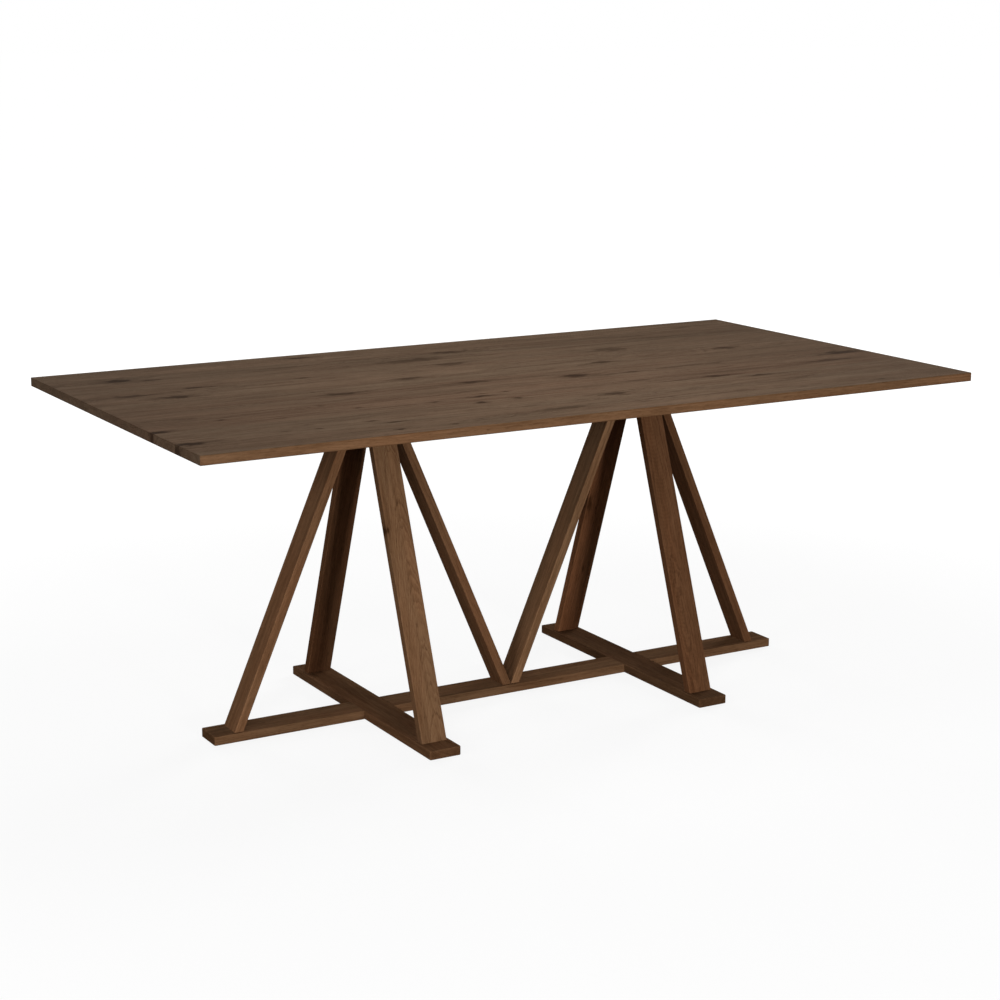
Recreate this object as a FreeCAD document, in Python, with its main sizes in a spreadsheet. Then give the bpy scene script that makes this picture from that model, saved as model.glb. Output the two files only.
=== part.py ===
import FreeCAD, Part
import math
import os

import Sketcher

# Trestle dining table in dark oak. A glued top of eight boards lies on two trestles. Each trestle has two
# legs that lean along the table and two that lean across it. They stand on a long floor rail and on a cross
# foot that is half-lapped over it, and meet under a head of two lapped boards that the top is bolted to.
# Millimetres. The origin is on the floor under the middle of the table, X runs along it and Z is up.
# The front is towards -Y, and left is towards -X.

SIZES = [
    # Tabletop
    ("table_height", 750, "floor to the upper face of the top"),
    ("top_length", 1900, "length of the top and of each of its boards"),
    ("top_thickness", 20, "thickness of the boards of the top"),
    ("top_easing", 1.5, "rounding of the outer edges of the top"),
    ("top_corner", 2, "rounding of the four upright corners of the top"),
    ("board_1_width", 125, "front board"),
    ("board_2_width", 113, "second board from the front"),
    ("board_3_width", 127, "third board"),
    ("board_4_width", 123, "fourth board"),
    ("board_5_width", 140, "fifth board"),
    ("board_6_width", 137, "sixth board"),
    ("board_7_width", 129, "seventh board"),
    ("board_8_width", 106, "back board"),
    # Trestles
    ("trestle_spacing", 700, "between the middles of the two trestles"),
    ("cross_spread", 300, "trestle middle to the outer face of a leg that leans across, on its foot"),
    ("leg_width", 60, "broad side of a leg"),
    ("leg_thickness", 20, "narrow side of a leg"),
    ("leg_corner_gap", 1, "room between the corners of neighbouring legs under the head"),
    ("middle_gap", 0.5, "between the two legs that meet in a V on the rail"),
    ("edge_easing", 1.5, "rounding of the edges of legs, rail, feet, bearers and cleats"),
    # Rail, feet and head boards
    ("foot_thickness", 20, "thickness of the rail and of the cross feet"),
    ("head_thickness", 20, "thickness of the bearers and of the cleats"),
    ("seat_margin", 7.5, "board that shows on each side of a leg standing on it"),
    ("rail_overhang", 50, "rail beyond the outer leg"),
    ("foot_overhang", 50, "cross foot beyond its leg"),
    ("foot_corner", 4, "rounding of the upright corners of the rail and of the cross feet"),
    ("lap_clearance", 0.1, "each side of a board in the notch of a lap"),
    ("bearer_end_cut", 10, "cut on the lower end edges of the bearers and cleats"),
    # Dowels between a leg and the board at its end
    ("dowel_diameter", 8, ""),
    ("dowel_spacing", 32, "between the two dowels of a leg's end"),
    ("dowel_in_board", 12, "length in the foot or the head board"),
    ("dowel_in_leg", 17, "length in the leg"),
    ("dowel_bevel", 1, "bevel on a dowel's ends"),
    ("dowel_clearance", 0.05, "round a dowel in its hole"),
    ("dowel_end_room", 1, "beyond a dowel's end in its hole"),
    # Countersunk screws
    ("leg_screw_diameter", 5, "screw that draws a leg to its board"),
    ("leg_screw_head", 10, "diameter of its head"),
    ("leg_screw_grip", 24, "length of that screw in the leg"),
    ("lap_screw_diameter", 4, "screw that holds a lap"),
    ("lap_screw_head", 8, "diameter of its head"),
    ("lap_screw_cover", 4, "wood left beyond the point of a lap screw"),
    ("lap_screw_offset", 18, "lap screw from the middle of the lap, each way"),
    ("countersink", 90, "angle of a screw's head and of its seat, in degrees"),
    ("screw_recess", 0.3, "head below the surface of the wood"),
    ("screw_point", 4, "length of a screw's point"),
    ("screw_end_room", 1, "beyond a screw's point in its hole"),
    ("screw_bite", 0.05, "round a screw in the wood that it grips"),
    ("screw_passage", 0.3, "round a screw in the wood that it passes through"),
    ("drive_reach", 2.2, "middle of a screw's cross recess to the end of an arm"),
    ("drive_arm", 0.7, "half the width of an arm"),
    ("drive_depth", 1.2, "depth of the cross recess"),
    # Bolts that hold the top
    ("bolt_diameter", 6, ""),
    ("bolt_grip", 8.4, "length of a bolt in the top"),
    ("bolt_head_diameter", 10.5, ""),
    ("bolt_head_height", 3.3, ""),
    ("bolt_head_rim", 1.2, "height of the straight rim of the domed head"),
    ("bolt_head_flat", 7, "diameter of the flat face of the domed head"),
    ("bolt_point", 0.5, "bevel on a bolt's end"),
    ("bolt_socket", 4, "across the flats of the hexagon socket"),
    ("bolt_socket_depth", 2, ""),
    ("bolt_clearance", 0.5, "round a bolt in its board and its washer"),
    ("bolt_inner_reach", 200, "inner bolt of a bearer, from the trestle's middle"),
    ("bolt_outer_reach", 320, "outer bolt of a bearer, from the trestle's middle"),
    ("cleat_bolt_reach", 90, "bolt of a cleat, from the trestle's middle"),
    ("bolt_end_margin", 30, "bearer or cleat beyond its last bolt"),
    ("slot_travel", 8, "play of a bolt along its slot, for the movement of the top"),
    ("washer_diameter", 18, ""),
    ("washer_thickness", 1.6, ""),
    ("insert_diameter", 9, "threaded insert in the top"),
    ("insert_length", 12, ""),
    ("insert_end_room", 1, "beyond an insert in its hole"),
    ("insert_clearance", 0.05, "round an insert in its hole and round a bolt in it"),
    # Felt pads
    ("pad_diameter", 20, ""),
    ("pad_thickness", 2, ""),
    ("pad_setback", 25, "middle of a pad from the end of its rail or foot"),
]

BOARDS = 8
TRESTLES = {"left": "-Sizes.trestle_spacing / 2", "right": "Sizes.trestle_spacing / 2"}
LEG_FIXINGS = {"dowel": "Sizes.dowel_in_leg", "screw": "Sizes.leg_screw_grip"}
SIGNS = (-1, 1)
TOLERANCE = 1e-6


def board_width(number):
    return f"Sizes.board_{number}_width"


def total(formulas):
    return "(" + " + ".join(formulas) + ")"


# Sizes that follow from the ones above, as formulas. A leg of the given thickness runs from its spread on
# the foot, measured to its outer face, to a place under the head, measured to its inner face, and that
# settles how far it leans. Its dowels and screws stand upright, so each starts off the middle of the leg's
# end by half of the leg's drift along it.
WORKED = {
    "top_width": total(board_width(number) for number in range(1, BOARDS + 1)),
    "top_underside": "Sizes.table_height - Sizes.top_thickness",
    "head_underside": "top_underside - Sizes.head_thickness",
    "foot_top": "Sizes.pad_thickness + Sizes.foot_thickness",
    "leg_rise": "head_underside - foot_top",
    "leg_inner_top": "Sizes.leg_width / 2 + Sizes.leg_corner_gap",
    "strip_width": "Sizes.leg_width + 2 * Sizes.seat_margin",
    "long_spread": "(Sizes.trestle_spacing - Sizes.middle_gap) / 2",
    "cross_spread": "Sizes.cross_spread",
    "rail_length": "2 * (Sizes.trestle_spacing + Sizes.rail_overhang)",
    "foot_length": "2 * (Sizes.cross_spread + Sizes.foot_overhang)",
    "bearer_length": "2 * (Sizes.bolt_outer_reach + Sizes.bolt_end_margin)",
    "cleat_length": "2 * (Sizes.cleat_bolt_reach + Sizes.bolt_end_margin)",
    "bolt_hole": "Sizes.bolt_diameter + 2 * Sizes.bolt_clearance",
    "insert_hole": "Sizes.insert_diameter + 2 * Sizes.insert_clearance",
    "dowel_hole": "Sizes.dowel_diameter + 2 * Sizes.dowel_clearance",
}
for kind in ("long", "cross"):
    run = f"({kind}_spread - leg_inner_top)"
    WORKED[f"{kind}_lean"] = (
        f"acos(Sizes.leg_thickness / sqrt({run}^2 + leg_rise^2)) - atan2(leg_rise; {run})"
    )
    WORKED[f"{kind}_cut"] = f"Sizes.leg_thickness / cos({kind}_lean)"
    for fixing, depth in LEG_FIXINGS.items():
        drift = f"tan({kind}_lean) * {depth} / 2"
        WORKED[f"{kind}_foot_{fixing}"] = f"{kind}_spread - {kind}_cut / 2 - {drift}"
        WORKED[f"{kind}_head_{fixing}"] = f"leg_inner_top + {kind}_cut / 2 + {drift}"

doc = FreeCAD.newDocument("trestle_dining_table")
Vector = FreeCAD.Vector
UP = Vector(0, 0, 1)

sheet = doc.addObject("Spreadsheet::Sheet", "Sizes")
for row, (alias, number, meaning) in enumerate(SIZES, start=1):
    sheet.set(f"A{row}", alias)
    sheet.set(f"B{row}", str(number))
    sheet.setAlias(f"B{row}", alias)
    sheet.set(f"C{row}", meaning)
worked = doc.addObject("Spreadsheet::Sheet", "Worked")
for row, (alias, formula) in enumerate(WORKED.items(), start=1):
    worked.set(f"A{row}", alias)
    worked.set(f"B{row}", "=" + formula)
    worked.setAlias(f"B{row}", alias)
doc.recompute()

# The sub-parts to write out, each with the number of solids that it holds
subparts = {}


def value(formula):
    """What a formula on the sheets comes to."""
    found = sheet.evalExpression(formula)
    return float(getattr(found, "Value", found))


def bind(thing, **formulas):
    """Tie properties to formulas on the sheets."""
    for name, formula in formulas.items():
        thing.setExpression(name, formula)


def place(thing, x="0", y="0", z="0", turn=0, axis=UP):
    """Set a piece in the table's frame, turned by a fixed angle."""
    thing.Placement = FreeCAD.Placement(Vector(), FreeCAD.Rotation(axis, turn))
    thing.setExpression("Placement.Base.x", x)
    thing.setExpression("Placement.Base.y", y)
    thing.setExpression("Placement.Base.z", z)


def new_body(label, solids=1):
    """A piece with a name of its own. A pattern piece that is only copied has no solids to write out."""
    body = doc.addObject("PartDesign::Body", label)
    body.Label = label
    if solids:
        subparts[label] = solids
    return body


def new_sketch(body, name, role="XY_Plane", lift=None):
    """A sketch on one of the body's own planes, raised from it by a formula."""
    plane = next(feature for feature in body.Origin.OriginFeatures if feature.Role == role)
    sketch = body.newObject("Sketcher::SketchObject", name)
    sketch.AttachmentSupport = (plane, [""])
    sketch.MapMode = "FlatFace"
    if lift:
        sketch.setExpression("AttachmentOffset.Base.z", lift)
    return sketch


def hold(sketch, geometry, point, x, y):
    """Keep a point of a sketch at signed distances from the sketch's origin."""
    for direction, axis, formula in (("DistanceX", -2, x), ("DistanceY", -1, y)):
        distance = value(formula)
        if abs(distance) < TOLERANCE:
            sketch.addConstraint(Sketcher.Constraint("PointOnObject", geometry, point, axis))
            continue
        ends = (-1, 1, geometry, point) if distance > 0 else (geometry, point, -1, 1)
        index = sketch.addConstraint(Sketcher.Constraint(direction, *ends, abs(distance)))
        sketch.setExpression(f"Constraints[{index}]", formula if distance > 0 else f"-({formula})")


def draw_outline(sketch, points):
    """A closed outline of straight lines through the points."""
    corners = [Vector(value(x), value(y), 0) for x, y in points]
    lines = [
        sketch.addGeometry(Part.LineSegment(corner, corners[(number + 1) % len(corners)]))
        for number, corner in enumerate(corners)
    ]
    for number, line in enumerate(lines):
        follower = lines[(number + 1) % len(lines)]
        sketch.addConstraint(Sketcher.Constraint("Coincident", line, 2, follower, 1))
    for line, (x, y) in zip(lines, points):
        hold(sketch, line, 1, x, y)


def draw_rectangle(sketch, length, width, x="0"):
    """A rectangle about a point on the sketch's X axis."""
    left = f"{x} - {length} / 2"
    right = f"{x} + {length} / 2"
    bottom = f"-{width} / 2"
    top = f"{width} / 2"
    draw_outline(sketch, [(left, bottom), (right, bottom), (right, top), (left, top)])


def draw_circle(sketch, diameter, x, y):
    """A circle about a point."""
    centre = Vector(value(x), value(y), 0)
    circle = sketch.addGeometry(Part.Circle(centre, UP, value(diameter) / 2))
    index = sketch.addConstraint(Sketcher.Constraint("Diameter", circle, value(diameter)))
    sketch.setExpression(f"Constraints[{index}]", diameter)
    hold(sketch, circle, 3, x, y)


def draw_slot(sketch, diameter, travel, x):
    """A round-ended slot along X, about a point on the sketch's X axis."""
    radius = value(diameter) / 2
    ends = (f"{x} - {travel} / 2", f"{x} + {travel} / 2")
    low, high = (Vector(value(end), 0, 0) for end in ends)
    quarter = math.pi / 2
    across = Vector(0, radius, 0)
    arcs = [
        sketch.addGeometry(Part.ArcOfCircle(Part.Circle(low, UP, radius), quarter, 3 * quarter)),
        sketch.addGeometry(Part.ArcOfCircle(Part.Circle(high, UP, radius), -quarter, quarter)),
    ]
    lines = [
        sketch.addGeometry(Part.LineSegment(low - across, high - across)),
        sketch.addGeometry(Part.LineSegment(high + across, low + across)),
    ]
    ring = [arcs[0], lines[0], arcs[1], lines[1]]
    for first, second in zip(ring, ring[1:] + ring[:1]):
        sketch.addConstraint(Sketcher.Constraint("Tangent", first, 2, second, 1))
    index = sketch.addConstraint(Sketcher.Constraint("Diameter", arcs[0], value(diameter)))
    sketch.setExpression(f"Constraints[{index}]", diameter)
    for arc, end in zip(arcs, ends):
        hold(sketch, arc, 3, end, "0")


def pad(body, name, sketch, height, midplane=False):
    feature = body.newObject("PartDesign::Pad", name)
    feature.Profile = sketch
    feature.Midplane = midplane
    bind(feature, Length=height)
    doc.recompute()
    return feature


def pocket(body, name, sketch, depth, upwards=False):
    """Cut a sketch's outlines down into the wood, or up into it from below."""
    feature = body.newObject("PartDesign::Pocket", name)
    feature.Profile = sketch
    feature.Reversed = upwards
    bind(feature, Length=depth)
    doc.recompute()


def countersunk_holes(body, name, sketch, diameter, head, upwards):
    """Drill right through at each circle, with a seat for a screw's head where the drill starts."""
    doc.recompute()
    feature = body.newObject("PartDesign::Hole", name)
    feature.Profile = sketch
    doc.recompute()
    feature.ThreadType = "None"
    feature.DepthType = "ThroughAll"
    feature.HoleCutType = "Countersink"
    feature.HoleCutCustomValues = True
    feature.Reversed = upwards
    seat = f"{head} + 2 * Sizes.screw_recess + 2 * Sizes.screw_bite"
    bind(feature, Diameter=diameter, HoleCutDiameter=seat, HoleCutCountersinkAngle="Sizes.countersink")
    doc.recompute()


def ease(body, name, base, radius, wanted):
    """Round the edges of a feature that the test picks."""
    feature = body.newObject("PartDesign::Fillet", name)
    edges = [f"Edge{number}" for number, edge in enumerate(base.Shape.Edges, start=1) if wanted(edge)]
    feature.Base = (base, edges)
    bind(feature, Radius=radius)
    doc.recompute()
    return feature


def on(distance, formula):
    """Whether a distance from the origin, on either side, is the one that a formula gives."""
    return abs(abs(distance) - value(formula)) < TOLERANCE


def is_level(edge):
    """Whether an edge, straight or curved, keeps one height."""
    heights = [edge.valueAt(end).z for end in edge.ParameterRange]
    return max(heights) - min(heights) < TOLERANCE


def group(label, pattern, places):
    """One node of like pieces: copies of a pattern piece at places of (x, y, z), some turned over."""
    copies = []
    for number, (x, y, z, turn) in enumerate(places, start=1):
        copy = doc.addObject("App::Link", f"{label}_{number}")
        copy.LinkedObject = pattern
        place(copy, x, y, z, turn, Vector(1, 0, 0))
        copies.append(copy)
    compound = doc.addObject("Part::Compound", label)
    compound.Label = label
    compound.Links = copies
    subparts[label] = len(copies)


# Tabletop: eight full-length boards glued edge to edge. Only the outer edges of the finished top are eased.
# Each bolt's threaded insert sits in a blind hole from below.

def bolt_places():
    """Where the bolts go up into the top."""
    places = []
    for middle in TRESTLES.values():
        for sign in SIGNS:
            places.append((middle, f"{sign} * Sizes.bolt_inner_reach"))
            places.append((middle, f"{sign} * Sizes.bolt_outer_reach"))
            places.append((f"{middle} + {sign} * Sizes.cleat_bolt_reach", "0"))
    return places


def make_top_board(number):
    width = board_width(number)
    before = total([board_width(other) for other in range(1, number)] + ["0"])
    middle = f"({before} + {width} / 2 - Worked.top_width / 2)"
    body = new_body(f"tabletop_board_{number}")
    place(body, y=middle, z="Worked.top_underside")

    sketch = new_sketch(body, f"board_{number}_outline")
    draw_rectangle(sketch, "Sizes.top_length", width)
    blank = pad(body, f"board_{number}_blank", sketch, "Sizes.top_thickness")

    glued_sides = [sign for sign, outermost in ((-1, 1), (1, BOARDS)) if number != outermost]

    def is_outer(edge):
        spot = edge.CenterOfMass
        return not any(on(spot.y, f"{width} / 2") and spot.y * sign > 0 for sign in glued_sides)

    def is_corner(edge):
        return is_outer(edge) and not is_level(edge)

    def is_outer_rim(edge):
        return is_outer(edge) and is_level(edge)

    if any(is_corner(edge) for edge in blank.Shape.Edges):
        blank = ease(body, f"board_{number}_corners", blank, "Sizes.top_corner", is_corner)
    ease(body, f"board_{number}_easing", blank, "Sizes.top_easing", is_outer_rim)

    half = value(f"({width} + Worked.insert_hole) / 2")
    inside = [(x, f"{y} - {middle}") for x, y in bolt_places() if abs(value(f"{y} - {middle}")) < half]
    if inside:
        sketch = new_sketch(body, f"board_{number}_insert_holes")
        for x, y in inside:
            draw_circle(sketch, "Worked.insert_hole", x, y)
        depth = "max(Sizes.insert_length; Sizes.bolt_grip) + Sizes.insert_end_room"
        pocket(body, f"board_{number}_insert_drilling", sketch, depth, upwards=True)


for number in range(1, BOARDS + 1):
    make_top_board(number)


# Rail, cross feet, bearers and cleats: planed strips, wide enough to seat a leg with a margin. Each is drawn
# along its own X axis, on its lower face, and notched half through where it crosses another one.

def make_strip(label, length, thickness):
    body = new_body(label)
    sketch = new_sketch(body, f"{label}_outline")
    draw_rectangle(sketch, length, "Worked.strip_width")
    blank = pad(body, f"{label}_blank", sketch, thickness)
    return body, blank


def notch(body, middles, thickness, from_top):
    """Cut laps half through a strip at places along it."""
    sketch = new_sketch(body, f"{body.Label}_laps", lift=thickness if from_top else None)
    crossing = "(Worked.strip_width + 2 * Sizes.lap_clearance)"
    for middle in middles:
        draw_rectangle(sketch, crossing, crossing, middle)
    pocket(body, f"{body.Label}_lap_cut", sketch, f"{thickness} / 2", upwards=not from_top)


def drill_for_lap_screws(body, middles, thickness, through, turned):
    """Two holes on a diagonal of each lap, through the lower board and blind in the upper one."""
    name = f"{body.Label}_lap_screws"
    sketch = new_sketch(body, name, lift=None if through else f"{thickness} / 2")
    play = "Sizes.screw_passage" if through else "Sizes.screw_bite"
    hole = f"Sizes.lap_screw_diameter + 2 * {play}"
    for middle in middles:
        for sign in SIGNS:
            aside = -sign if turned else sign
            x = f"{middle} + {sign} * Sizes.lap_screw_offset"
            draw_circle(sketch, hole, x, f"{aside} * Sizes.lap_screw_offset")
    if through:
        countersunk_holes(body, f"{name}_drilling", sketch, hole, "Sizes.lap_screw_head", upwards=True)
    else:
        depth = f"{thickness} / 2 - Sizes.lap_screw_cover + Sizes.screw_end_room"
        pocket(body, f"{name}_drilling", sketch, depth, upwards=True)


def drill_for_legs(body, seats, kind, end, thickness):
    """Two dowel holes and one screw hole for each leg that stands on a foot or reaches up to a head board."""
    legs_above = end == "foot"
    name = f"{body.Label}_{kind}_legs"
    dowels = new_sketch(body, f"{name}_dowels", lift=thickness if legs_above else None)
    screws = new_sketch(body, f"{name}_screws", lift=None if legs_above else thickness)
    screw_hole = "Sizes.leg_screw_diameter + 2 * Sizes.screw_passage"
    for middle, sign in seats:
        for side in SIGNS:
            x = f"{middle} + {sign} * Worked.{kind}_{end}_dowel"
            draw_circle(dowels, "Worked.dowel_hole", x, f"{side} * Sizes.dowel_spacing / 2")
        draw_circle(screws, screw_hole, f"{middle} + {sign} * Worked.{kind}_{end}_screw", "0")
    depth = "Sizes.dowel_in_board + Sizes.dowel_end_room"
    pocket(body, f"{name}_dowel_drilling", dowels, depth, upwards=not legs_above)
    seat = "Sizes.leg_screw_head"
    countersunk_holes(body, f"{name}_screw_drilling", screws, screw_hole, seat, upwards=legs_above)


def ease_all(body, base):
    ease(body, f"{body.Label}_easing", base, "Sizes.edge_easing", lambda edge: True)


def round_and_ease(body, base):
    """Round the upright corners of a strip that lies on the floor, then ease its upper and lower rims."""
    base = ease(body, f"{body.Label}_corners", base, "Sizes.foot_corner", lambda edge: not is_level(edge))
    ease(body, f"{body.Label}_easing", base, "Sizes.edge_easing", is_level)


def make_floor_rail():
    body, blank = make_strip("floor_rail", "Worked.rail_length", "Sizes.foot_thickness")
    place(body, z="Sizes.pad_thickness")
    round_and_ease(body, blank)
    middles = list(TRESTLES.values())
    notch(body, middles, "Sizes.foot_thickness", from_top=True)
    seats = [(middle, sign) for middle in middles for sign in SIGNS]
    drill_for_legs(body, seats, "long", "foot", "Sizes.foot_thickness")
    drill_for_lap_screws(body, middles, "Sizes.foot_thickness", through=True, turned=False)


def make_cross_foot(trestle):
    body, blank = make_strip(f"{trestle}_cross_foot", "Worked.foot_length", "Sizes.foot_thickness")
    place(body, x=TRESTLES[trestle], z="Sizes.pad_thickness", turn=90)
    round_and_ease(body, blank)
    notch(body, ["0"], "Sizes.foot_thickness", from_top=False)
    drill_for_legs(body, [("0", sign) for sign in SIGNS], "cross", "foot", "Sizes.foot_thickness")
    drill_for_lap_screws(body, ["0"], "Sizes.foot_thickness", through=False, turned=True)


def cut_lower_ends(body, blank, length):
    """Take off the lower end edges of a head board, so that it doesn't catch a knee."""
    feature = body.newObject("PartDesign::Chamfer", f"{body.Label}_end_cut")
    ends = [
        f"Edge{number}"
        for number, edge in enumerate(blank.Shape.Edges, start=1)
        if on(edge.CenterOfMass.x, f"{length} / 2") and on(edge.CenterOfMass.z, "0")
    ]
    feature.Base = (blank, ends)
    bind(feature, Size="Sizes.bearer_end_cut")
    doc.recompute()
    return feature


def make_bearer(trestle):
    """Board across the top, with slots that let the top swell and shrink across its width."""
    body, blank = make_strip(f"{trestle}_bearer", "Worked.bearer_length", "Sizes.head_thickness")
    place(body, x=TRESTLES[trestle], z="Worked.head_underside", turn=90)
    ease_all(body, cut_lower_ends(body, blank, "Worked.bearer_length"))
    notch(body, ["0"], "Sizes.head_thickness", from_top=False)
    drill_for_legs(body, [("0", sign) for sign in SIGNS], "cross", "head", "Sizes.head_thickness")
    drill_for_lap_screws(body, ["0"], "Sizes.head_thickness", through=False, turned=True)
    sketch = new_sketch(body, f"{trestle}_bearer_slots")
    for sign in SIGNS:
        for reach in ("bolt_inner_reach", "bolt_outer_reach"):
            draw_slot(sketch, "Worked.bolt_hole", "Sizes.slot_travel", f"{sign} * Sizes.{reach}")
    pocket(body, f"{trestle}_bearer_slot_cut", sketch, "Sizes.head_thickness", upwards=True)


def make_cleat(trestle):
    """Short board lapped under the bearer, along the table, for the legs that lean that way."""
    body, blank = make_strip(f"{trestle}_cleat", "Worked.cleat_length", "Sizes.head_thickness")
    place(body, x=TRESTLES[trestle], z="Worked.head_underside")
    ease_all(body, cut_lower_ends(body, blank, "Worked.cleat_length"))
    notch(body, ["0"], "Sizes.head_thickness", from_top=True)
    drill_for_legs(body, [("0", sign) for sign in SIGNS], "long", "head", "Sizes.head_thickness")
    drill_for_lap_screws(body, ["0"], "Sizes.head_thickness", through=True, turned=False)
    sketch = new_sketch(body, f"{trestle}_cleat_bolt_holes")
    for sign in SIGNS:
        draw_circle(sketch, "Worked.bolt_hole", f"{sign} * Sizes.cleat_bolt_reach", "0")
    pocket(body, f"{trestle}_cleat_bolt_drilling", sketch, "Sizes.head_thickness", upwards=True)


make_floor_rail()
for trestle in TRESTLES:
    make_cross_foot(trestle)
    make_bearer(trestle)
    make_cleat(trestle)


# Legs: flat bars cut level at both ends. Each is drawn leaning in from its own +X side towards its trestle's
# middle, then turned to face its way. The holes in its ends stand upright, so that it drops in from above.

LEGS = [
    ("left_outer_leg", "left", "long", "left"),
    ("left_inner_leg", "left", "long", "right"),
    ("left_front_leg", "left", "cross", "front"),
    ("left_back_leg", "left", "cross", "back"),
    ("right_outer_leg", "right", "long", "right"),
    ("right_inner_leg", "right", "long", "left"),
    ("right_front_leg", "right", "cross", "front"),
    ("right_back_leg", "right", "cross", "back"),
]
QUARTER_TURNS = ("right", "back", "left", "front")


def turn_to(facing):
    """The angle that turns the +X side of a piece to face its way."""
    return 90 * QUARTER_TURNS.index(facing)


def make_leg(label, trestle, kind, facing):
    body = new_body(label)
    place(body, x=TRESTLES[trestle], turn=turn_to(facing))

    sketch = new_sketch(body, f"{label}_side", role="XZ_Plane")
    spread = f"Worked.{kind}_spread"
    cut = f"Worked.{kind}_cut"
    draw_outline(sketch, [
        (f"{spread} - {cut}", "Worked.foot_top"),
        (spread, "Worked.foot_top"),
        (f"Worked.leg_inner_top + {cut}", "Worked.head_underside"),
        ("Worked.leg_inner_top", "Worked.head_underside"),
    ])
    bar = pad(body, f"{label}_bar", sketch, "Sizes.leg_width", midplane=True)

    lengthwise = Vector(-value(f"sin(Worked.{kind}_lean)"), 0, value(f"cos(Worked.{kind}_lean)"))

    def is_long(edge):
        return edge.tangentAt(edge.FirstParameter).cross(lengthwise).Length < TOLERANCE

    ease(body, f"{label}_easing", bar, "Sizes.edge_easing", is_long)

    screw_hole = "Sizes.leg_screw_diameter + 2 * Sizes.screw_bite"
    dowel_depth = "Sizes.dowel_in_leg + Sizes.dowel_end_room"
    screw_depth = "Sizes.leg_screw_grip + Sizes.screw_end_room"
    for end, level in (("foot", "Worked.foot_top"), ("head", "Worked.head_underside")):
        upwards = end == "foot"
        dowels = new_sketch(body, f"{label}_{end}_dowels", lift=level)
        for side in SIGNS:
            draw_circle(dowels, "Worked.dowel_hole", f"Worked.{kind}_{end}_dowel",
                        f"{side} * Sizes.dowel_spacing / 2")
        pocket(body, f"{label}_{end}_dowel_drilling", dowels, dowel_depth, upwards)
        screw = new_sketch(body, f"{label}_{end}_screw", lift=level)
        draw_circle(screw, screw_hole, f"Worked.{kind}_{end}_screw", "0")
        pocket(body, f"{label}_{end}_screw_drilling", screw, screw_depth, upwards)


for leg in LEGS:
    make_leg(*leg)


# Dowels and screws at the ends of the legs. A foot's screw goes up into its leg, a head board's goes down.

def leg_spot(trestle, facing, out, aside="0"):
    """Where a point in a leg's own frame lies on the table."""
    ahead = FreeCAD.Rotation(UP, turn_to(facing)).multVec(Vector(1, 0, 0))
    along = round(ahead.x)
    across = round(ahead.y)
    x = f"{TRESTLES[trestle]} + {along} * {out} - {across} * {aside}"
    y = f"{across} * {out} + {along} * {aside}"
    return x, y


def make_dowel():
    body = new_body("dowel_pattern", solids=0)
    sketch = new_sketch(body, "dowel_round")
    draw_circle(sketch, "Sizes.dowel_diameter", "0", "0")
    rod = pad(body, "dowel_rod", sketch, "Sizes.dowel_in_board + Sizes.dowel_in_leg")
    rims = [f"Edge{number}" for number, edge in enumerate(rod.Shape.Edges, start=1) if edge.isClosed()]
    feature = body.newObject("PartDesign::Chamfer", "dowel_end_bevel")
    feature.Base = (rod, rims)
    bind(feature, Size="Sizes.dowel_bevel")
    doc.recompute()
    return body


def make_screw(name, diameter, head, length):
    """A countersunk screw that points up from the seat of its head, with a cross recess."""
    body = new_body(f"{name}_pattern", solids=0)
    sketch = new_sketch(body, f"{name}_half", role="XZ_Plane")
    draw_outline(sketch, [
        ("0", "0"),
        (f"{head} / 2", "0"),
        (f"{diameter} / 2", f"({head} - {diameter}) / 2 / tan(Sizes.countersink * 0.5)"),
        (f"{diameter} / 2", f"{length} - Sizes.screw_point"),
        ("0", length),
    ])
    feature = body.newObject("PartDesign::Revolution", f"{name}_turned")
    feature.Profile = sketch
    feature.ReferenceAxis = (sketch, ["V_Axis"])
    feature.Angle = 360
    doc.recompute()
    recess = new_sketch(body, f"{name}_recess")
    arm = "Sizes.drive_reach"
    half = "Sizes.drive_arm"
    draw_outline(recess, [
        (half, half), (half, arm), (f"-{half}", arm),
        (f"-{half}", half), (f"-{arm}", half), (f"-{arm}", f"-{half}"),
        (f"-{half}", f"-{half}"), (f"-{half}", f"-{arm}"), (half, f"-{arm}"),
        (half, f"-{half}"), (arm, f"-{half}"), (arm, half),
    ])
    pocket(body, f"{name}_drive", recess, "Sizes.drive_depth", upwards=True)
    return body


def fasten_legs():
    dowel = make_dowel()
    for end, level in (("foot", "Worked.foot_top"), ("head", "Worked.head_underside")):
        length_below = "Sizes.dowel_in_board" if end == "foot" else "Sizes.dowel_in_leg"
        places = []
        for _, trestle, kind, facing in LEGS:
            for side in SIGNS:
                aside = f"{side} * Sizes.dowel_spacing / 2"
                spot = leg_spot(trestle, facing, f"Worked.{kind}_{end}_dowel", aside)
                places.append((*spot, f"{level} - {length_below}", 0))
        group(f"{end}_dowels", dowel, places)

        thickness = f"Sizes.{end}_thickness"
        length = f"({thickness} - Sizes.screw_recess + Sizes.leg_screw_grip)"
        screw = make_screw(f"{end}_screw", "Sizes.leg_screw_diameter", "Sizes.leg_screw_head", length)
        start, turn_over = {
            "foot": ("Sizes.pad_thickness + Sizes.screw_recess", 0),
            "head": ("Worked.top_underside - Sizes.screw_recess", 180),
        }[end]
        places = []
        for _, trestle, kind, facing in LEGS:
            spot = leg_spot(trestle, facing, f"Worked.{kind}_{end}_screw")
            places.append((*spot, start, turn_over))
        group(f"{end}_screws", screw, places)


fasten_legs()


# Short screws that hold the laps of the base and of the heads, all driven from below.

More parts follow.
